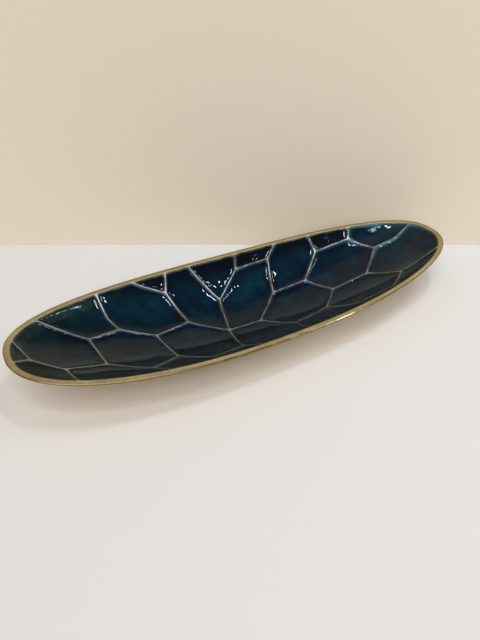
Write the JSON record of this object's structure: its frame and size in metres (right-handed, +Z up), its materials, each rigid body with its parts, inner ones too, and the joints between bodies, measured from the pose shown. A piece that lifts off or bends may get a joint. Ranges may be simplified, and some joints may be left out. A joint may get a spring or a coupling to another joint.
{
  "type": "serving tray",
  "caption": "Long boat-shaped metal serving tray with upswept ends, a flat gold rim, and pools of dark teal enamel held in a net of raised ridges.",
  "frame": {"origin": "on the table, under the middle of the tray's flat foot", "axes": "+X along the tray towards its slightly narrower end, +Y across it, +Z up"},
  "size_m": [0.44, 0.1504, 0.0454],
  "materials": {
    "cast_metal": "satin gold-coloured finish on a cast tray, finely brushed on the rim",
    "enamel": "glossy dark teal and navy enamel, mottled, paler where it thins at the ridges"
  },
  "bodies": {
    "root": {"tray_casting": "cast_metal", "enamel_left_tip": "enamel", "enamel_left_bed": "enamel", "enamel_near_1": "enamel", "enamel_near_2": "enamel", "enamel_near_3": "enamel", "enamel_near_4": "enamel", "enamel_near_5": "enamel", "enamel_near_6": "enamel", "enamel_near_7": "enamel", "enamel_near_8": "enamel", "enamel_far_1": "enamel", "enamel_far_2": "enamel", "enamel_far_3": "enamel", "enamel_far_4": "enamel", "enamel_far_5": "enamel", "enamel_far_6": "enamel", "enamel_far_7": "enamel", "enamel_far_8": "enamel", "enamel_far_9": "enamel", "enamel_right_bed": "enamel", "enamel_bed_1": "enamel", "enamel_bed_2": "enamel", "enamel_bed_3": "enamel", "enamel_bed_4": "enamel", "enamel_bed_5": "enamel", "enamel_bed_6": "enamel"}
  },
  "joints": []
}
